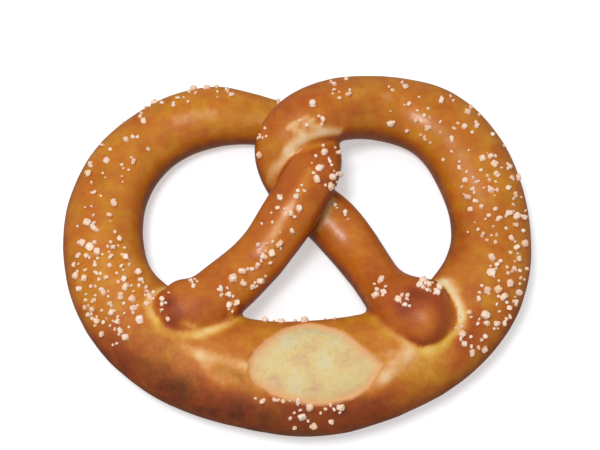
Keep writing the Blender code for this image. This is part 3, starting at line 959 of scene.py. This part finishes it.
def make_crust(material):
    """Glossy browned crust that turns into matte crumb inside the split."""
    tree, shader = shader_of(material, CRUST_CONSTANTS)
    place = add(tree, "ShaderNodeTexCoord").outputs["Object"]
    waves = {}
    for name, (size, detail, roughness) in CRUST_NOISES.items():
        sockets = {"Vector": place, "Scale": 1 / (size * MM), "Detail": detail, "Roughness": roughness}
        waves[name] = add(tree, "ShaderNodeTexNoise", sockets).outputs[0]
    stored = {}
    for name in ("browning", "yellowness", "split", "dullness"):
        stored[name] = add(tree, "ShaderNodeAttribute", attribute_name=name).outputs["Fac"]
    level = stored["browning"]
    for name, strength in MOTTLING.items():
        swing = [waves[name], strength, -strength / 2]
        swing = add(tree, "ShaderNodeMath", swing, operation="MULTIPLY_ADD").outputs[0]
        level = add(tree, "ShaderNodeMath", [level, swing], operation="ADD").outputs[0]
    tint = add(tree, "ShaderNodeMapRange", [waves["tint"], *TINT_RANGE]).outputs[0]
    tint = add(tree, "ShaderNodeMath", [tint, stored["yellowness"]], operation="ADD").outputs[0]
    tint = add(tree, "ShaderNodeMapRange", [tint]).outputs[0]
    orange = add(tree, "ShaderNodeValToRGB", [level], stops=ORANGE_CRUST).outputs[0]
    ochre = add(tree, "ShaderNodeValToRGB", [level], stops=OCHRE_CRUST).outputs[0]
    colour = add(tree, "ShaderNodeMix", {0: tint, 6: orange, 7: ochre}, data_type="RGBA").outputs[2]
    crumb = add(tree, "ShaderNodeValToRGB", [waves["cloud"]], stops=CRUMB).outputs[0]
    # Painted shade in the crumb's pores.
    pits = add(tree, "ShaderNodeValToRGB", [waves["pores"]], stops=CRUMB_PIT_SHADE).outputs[0]
    sockets = {0: PIT_SHADE_SHARE, 6: crumb, 7: pits}
    crumb = add(tree, "ShaderNodeMix", sockets, data_type="RGBA", blend_type="MULTIPLY").outputs[2]
    rim = add(tree, "ShaderNodeMapRange", [stored["split"], *RIM_RANGE]).outputs[0]
    torn = add(tree, "ShaderNodeMapRange", [stored["split"], *TORN_RANGE]).outputs[0]
    crumb = add(tree, "ShaderNodeMix", {0: torn, 6: CRUMB_RIM, 7: crumb}, data_type="RGBA").outputs[2]
    colour = add(tree, "ShaderNodeMix", {0: rim, 6: colour, 7: crumb}, data_type="RGBA").outputs[2]
    tree.links.new(colour, shader.inputs["Base Color"])
    gloss = add(tree, "ShaderNodeMapRange", [waves["freckle"], *GLOSS_RANGE]).outputs[0]
    pale = add(tree, "ShaderNodeMapRange", [stored["browning"], *PALE_AND_DULL]).outputs[0]
    for duller in (pale, stored["dullness"]):
        gloss = add(tree, "ShaderNodeMath", [gloss, duller], operation="ADD").outputs[0]
    sockets = {0: rim, 2: gloss, 3: CRUMB_DULLNESS}
    tree.links.new(add(tree, "ShaderNodeMix", sockets).outputs[0], shader.inputs["Roughness"])
    blister = add(tree, "ShaderNodeBump", {"Height": waves["wrinkle"], **BLISTERS}).outputs[0]
    sockets = {"Height": waves["pores"], "Distance": PORE_DEPTH * MM, "Strength": rim, "Normal": blister}
    tree.links.new(add(tree, "ShaderNodeBump", sockets).outputs[0], shader.inputs["Normal"])


make_crust(crust)
print("Crust nodes:", len(crust.node_tree.nodes))

# %% [markdown]
# ## Where the salt lies
#
# The baker throws the salt by hand, so it lies in drifts: thick on the sides of both loops, thin on
# the twist, a few grains beside the split. Each drift is a stretch of the rope, a range of angles and
# a number of grains, drawn at random with a fixed seed, no two closer than a grain, and none where
# another strand covers the dough. The solid's grains follow the same rule, so they lie in the same
# places.

# %% Salt drifts
SALT_DRIFTS = [
    (2, 5, -32, 40, 2), (13, 17, -52, -25, 2), (20, 24, 0, 62, 4), (27, 40, 0, 56, 6),
    (40, 60, -30, 50, 6), (60, 72, -30, 30, 5), (74, 88, -10, 78, 9), (114, 118, 35, 65, 2),
    (133, 168, 15, 68, 9), (168, 200, -25, 50, 9), (200, 216, -35, 35, 7), (214, 246, -40, 52, 34),
    (284, 322, -78, -68, 3), (290, 303, 33, 38, 3), (300, 316, 40, 75, 6), (356, 388, 0, 62, 24),
    (388, 428, -40, 62, 28), (428, 470, -50, 55, 14), (480, 490, -10, 50, 3), (496, 503, -42, 5, 2),
    (509, 516, 30, 55, 2), (545, 552, -24, -15, 2), (582, 590, 0, 38, 3), (594, 598, -5, 12, 3),
    (596, 604, -52, -28, 6),
]
SALT_SEED = 13
SALT_SPACING = 2.9
CRUMB_SALT_SEED = 23
CRUMB_SALT_SPACING = 1.5
CRUMB_SALT_SHARE = 1.9
SALT_TRIES = 60
COVER_MARGIN = 1.06


def covered(point, place):
    """Whether a far stretch of the rope lies over a point of the skin."""
    reach = point - rope.middle
    ahead = np.abs(np.einsum("ij,ij->i", reach, rope.ahead))
    across = np.einsum("ij,ij->i", reach, rope.outward) / rope.half_width
    height = np.einsum("ij,ij->i", reach, rope.upward) / rope.half_height
    inside = across**2 + height**2 < COVER_MARGIN**2
    far = np.abs(rope.along - place) > NEIGHBOUR_STRETCH
    return bool(np.any(inside & far & (ahead < 2 * COURSE_STEP)))


def salt_places(seed, spacing, share=1.0):
    """Points of the crust where grains lie, spread evenly inside each drift."""
    draw = random.Random(seed)
    places = []
    for first, last, low_angle, high_angle, drift_count in SALT_DRIFTS:
        count = round(drift_count * share)
        laid = 0
        for _ in range(count * SALT_TRIES):
            place, turn = draw.uniform(first, last), draw.uniform(low_angle, high_angle)
            point, _ = rope.skin(place, turn)
            close = any(np.linalg.norm(point - other) < spacing for other in places)
            if close or covered(point, place):
                continue
            places.append(point)
            laid += 1
            if laid == count:
                break
    return places


def drop_on(mesh, places):
    """The nearest point of a mesh to each place, and the way out there, both in metres."""
    tree = BVHTree.FromPolygons([v.co for v in mesh.vertices], [p.vertices for p in mesh.polygons])
    found = [tree.find_nearest(Vector(place) * MM) for place in places]
    return [hit[0] for hit in found], [hit[1] for hit in found]


grain_places = salt_places(SALT_SEED, SALT_SPACING)
crumb_places = salt_places(CRUMB_SALT_SEED, CRUMB_SALT_SPACING, CRUMB_SALT_SHARE)
print(len(grain_places), "places for grains and", len(crumb_places), "for crumbs of salt")

# %% [markdown]
# ## The grains
#
# Pretzel salt is pressed and crushed: dull white lumps of 2 to 3 mm with blunt corners. A block with a
# few faces on each side is pulled halfway to a ball, set on every place with a random turn and its own
# three sizes, and only then roughened by noise. Because the noise is read in space, after the blocks
# are real, no two grains come out alike. Salt also breaks into fine crumbs, which lie between the
# grains, so the same tree runs a second time with smaller blocks of fewer faces.

# %% Salt tree
GRAIN_SIZE = 1.85
GRAIN_FACES = 3
GRAIN_STRETCH = (0.66, 1.34)
GRAIN_SCALE = (0.68, 1.18)
GRAIN_SUNK = 0.30
BALL_SIZE = 0.60
BLUNTNESS = 0.68
CHIP_SIZE = 1.1
CHIP_DETAIL = 2.0
CHIP_REACH = 0.6
CRUMB_SALT_SIZE = 1.05
CRUMB_SALT_FACES = 2


def salt_tree(faces):
    """Sets a blunt block on every point, turns and stretches it, and roughens it."""
    inputs = [("Grain size", "NodeSocketFloat"), ("Seed", "NodeSocketInt")]
    tree, given, result = new_shape_tree("coarse salt", inputs)
    size, seed = given.outputs["Grain size"], given.outputs["Seed"]
    seeds = [seed]
    for step in (1.0, 2.0):
        seeds.append(add(tree, "ShaderNodeMath", [seed, step], operation="ADD").outputs[0])
    corners = {f"Vertices {axis}": faces + 1 for axis in "XYZ"}
    block = add(tree, "GeometryNodeMeshCube", {"Size": (1.0, 1.0, 1.0), **corners})
    place = add(tree, "GeometryNodeInputPosition").outputs[0]
    ball = add(tree, "ShaderNodeVectorMath", [place], operation="NORMALIZE").outputs[0]
    ball = add(tree, "ShaderNodeVectorMath", {0: ball, "Scale": BALL_SIZE}, operation="SCALE").outputs[0]
    blunt = add(tree, "ShaderNodeMix", {0: BLUNTNESS, 4: place, 5: ball}, data_type="VECTOR").outputs[1]
    rounded = add(tree, "GeometryNodeSetPosition", {"Geometry": block.outputs[0], "Position": blunt})
    drawn = []
    for (low, high), draw_seed in zip(((0.0, math.tau), GRAIN_STRETCH), seeds):
        sockets = {0: (low, low, low), 1: (high, high, high), "Seed": draw_seed}
        drawn.append(add(tree, "FunctionNodeRandomValue", sockets, data_type="FLOAT_VECTOR").outputs[0])
    turn, stretch = drawn
    sockets = {2: GRAIN_SCALE[0], 3: GRAIN_SCALE[1], "Seed": seeds[2]}
    grown = add(tree, "FunctionNodeRandomValue", sockets, data_type="FLOAT").outputs[1]
    grown = add(tree, "ShaderNodeMath", [grown, size], operation="MULTIPLY").outputs[0]
    scale = add(tree, "ShaderNodeVectorMath", {0: stretch, "Scale": grown}, operation="SCALE").outputs[0]
    grains = {"Points": given.outputs["Geometry"], "Instance": rounded.outputs[0]}
    grains |= {"Rotation": turn, "Scale": scale}
    spread_out = add(tree, "GeometryNodeInstanceOnPoints", grains)
    real = add(tree, "GeometryNodeRealizeInstances", [spread_out.outputs[0]])
    chipped = {"Vector": place, "Scale": 1 / (CHIP_SIZE * MM), "Detail": CHIP_DETAIL}
    chips = add(tree, "ShaderNodeTexNoise", chipped).outputs[1]
    around = [chips, (0.5, 0.5, 0.5)]
    centred = add(tree, "ShaderNodeVectorMath", around, operation="SUBTRACT").outputs[0]
    reach = add(tree, "ShaderNodeMath", [size, CHIP_REACH], operation="MULTIPLY").outputs[0]
    offset = add(tree, "ShaderNodeVectorMath", {0: centred, "Scale": reach}, operation="SCALE").outputs[0]
    rough = add(tree, "GeometryNodeSetPosition", {"Geometry": real.outputs[0], "Offset": offset})
    return dress(tree, rough.outputs[0], given, result)


# %% [markdown]
# Salt is clear crystal, but so full of flaws that it looks white. It needs only two off-whites, blended
# by a broad noise. Some light let through gives the waxy look, and a slight gloss gives each grain its
# glint.

# %% Salt
SALT_CLOUD_SIZE = 4.0
SALT_CLOUD_DETAIL = 2.0
SALT_TINTS = [(0.35, "#fce5d2"), (0.65, "#f2caa7")]
SALT_CONSTANTS = {
    "Roughness": 0.4,
    "IOR": 1.54,
    "Subsurface Weight": 0.3,
    "Subsurface Radius": (1.0, 0.7, 0.5),
    "Subsurface Scale": 0.6 * MM,
}
CRUMB_SHAPE_SEED = 18


def make_salt():
    """Off-white pressed salt that lets a little light through."""
    material = bpy.data.materials.new("pressed white salt")
    tree, shader = shader_of(material, SALT_CONSTANTS)
    place = add(tree, "ShaderNodeTexCoord").outputs["Object"]
    sockets = {"Vector": place, "Scale": 1 / (SALT_CLOUD_SIZE * MM), "Detail": SALT_CLOUD_DETAIL}
    cloud = add(tree, "ShaderNodeTexNoise", sockets).outputs[0]
    tint = add(tree, "ShaderNodeValToRGB", [cloud], stops=SALT_TINTS).outputs[0]
    tree.links.new(tint, shader.inputs["Base Color"])
    return material


def scatter_salt(name, places, size, faces, seed, material):
    """Grains of one size as one mesh."""
    mesh = bpy.data.meshes.new("salt places")
    spots, outs = drop_on(pretzel.data, places)
    lifted = [spot + out * size * (0.5 - GRAIN_SUNK) * MM for spot, out in zip(spots, outs)]
    mesh.from_pydata(lifted, [], [])
    salt = linked(name, mesh)
    grow(salt, salt_tree(faces), grain_size=size * MM, seed=seed, material=material)
    return salt


white_salt = make_salt()
salt = scatter_salt("salt_grains", grain_places, GRAIN_SIZE, GRAIN_FACES, SALT_SEED, white_salt)
crumb_kind = (CRUMB_SALT_SIZE, CRUMB_SALT_FACES, CRUMB_SHAPE_SEED)
crumbs = scatter_salt("salt_crumbs", crumb_places, *crumb_kind, white_salt)
print("Salt faces:", len(salt.data.polygons) + len(crumbs.data.polygons))

# %% [markdown]
# ## Onto the part
#
# All three pieces ride on the part's one body, and together they stand for the solid pretzel, whose plain
# skin and faceted grains they replace.

# %% Ride on the solid
for piece in (pretzel, salt, crumbs):
    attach(piece, "root")
    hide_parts("pretzel")

# %% [markdown]
# ## Table and light
#
# The photo is a plain product shot on a white table. Two soft squares of light hang over it, because
# one alone leaves the far side of the loops dim. The overhead one gives the crust its gloss, and the
# one at the back only fills, without a glint of its own. The surroundings are white above the horizon
# and warm below it, where the dough lights its own sides. The table is a single pale plane that glows a
# little, and it stays out of reflections and bounced light, so that it doesn't grey the dough's edges.

# %% Table and lights
TABLE_SIZE = 3.0
TABLE_GLOW = 0.44
TABLE_CONSTANTS = {
    "Base Color": "#e4e4e6",
    "Roughness": 0.8,
    "Emission Color": "#ffffff",
    "Emission Strength": TABLE_GLOW,
}
# Each softbox has a name, a place and a width in metres, a power, and whether it shows in the gloss.
SOFTBOXES = [
    ("softbox overhead", (-0.20, -0.06, 1.0), 0.28, 5.2, True),
    ("softbox at the back", (-0.24, 0.42, 0.95), 0.26, 1.3, False),
]
LIT_POINT = Vector((0, 0, 0.01))
SURROUND = 0.45
WARM_BOUNCE = "#e4d0be"
HORIZON = (-0.10, 0.05)


def lay_table():
    """A pale matte plane under the pretzel."""
    half = TABLE_SIZE / 2
    corners = [(-half, -half, 0), (half, -half, 0), (half, half, 0), (-half, half, 0)]
    mesh = bpy.data.meshes.new("table")
    mesh.from_pydata(corners, [], [(0, 1, 2, 3)])
    table = linked("table", mesh)
    material = bpy.data.materials.new("white laminate")
    shader_of(material, TABLE_CONSTANTS)
    mesh.materials.append(material)
    table.visible_glossy = False
    table.visible_diffuse = False


def hang_light(name, place, size, power, glint):
    """A square soft light that looks at the pretzel. Without a glint it stays out of the gloss."""
    data = bpy.data.lights.new(name, "AREA")
    data.size = size
    data.energy = power
    light = bpy.data.objects.new(name, data)
    light.location = place
    light.visible_glossy = glint
    light.rotation_euler = (LIT_POINT - Vector(place)).to_track_quat("-Z", "Y").to_euler()
    bpy.context.scene.collection.objects.link(light)


def surround(brightness):
    """Even white light from above the table, and the dough's own warm bounce from below it."""
    world = bpy.data.worlds.new("studio")
    world.use_nodes = True
    tree = world.node_tree
    way = add(tree, "ShaderNodeTexCoord").outputs["Generated"]
    height = add(tree, "ShaderNodeSeparateXYZ", [way]).outputs[2]
    above = add(tree, "ShaderNodeMapRange", [height, *HORIZON]).outputs[0]
    sockets = {0: above, 6: WARM_BOUNCE, 7: "#ffffff"}
    light = add(tree, "ShaderNodeMix", sockets, data_type="RGBA").outputs[2]
    tree.links.new(light, tree.nodes["Background"].inputs[0])
    tree.nodes["Background"].inputs[1].default_value = brightness
    bpy.context.scene.world = world


lay_table()
for softbox in SOFTBOXES:
    hang_light(*softbox)
surround(SURROUND)
bpy.context.scene.view_settings.view_transform = "Standard"
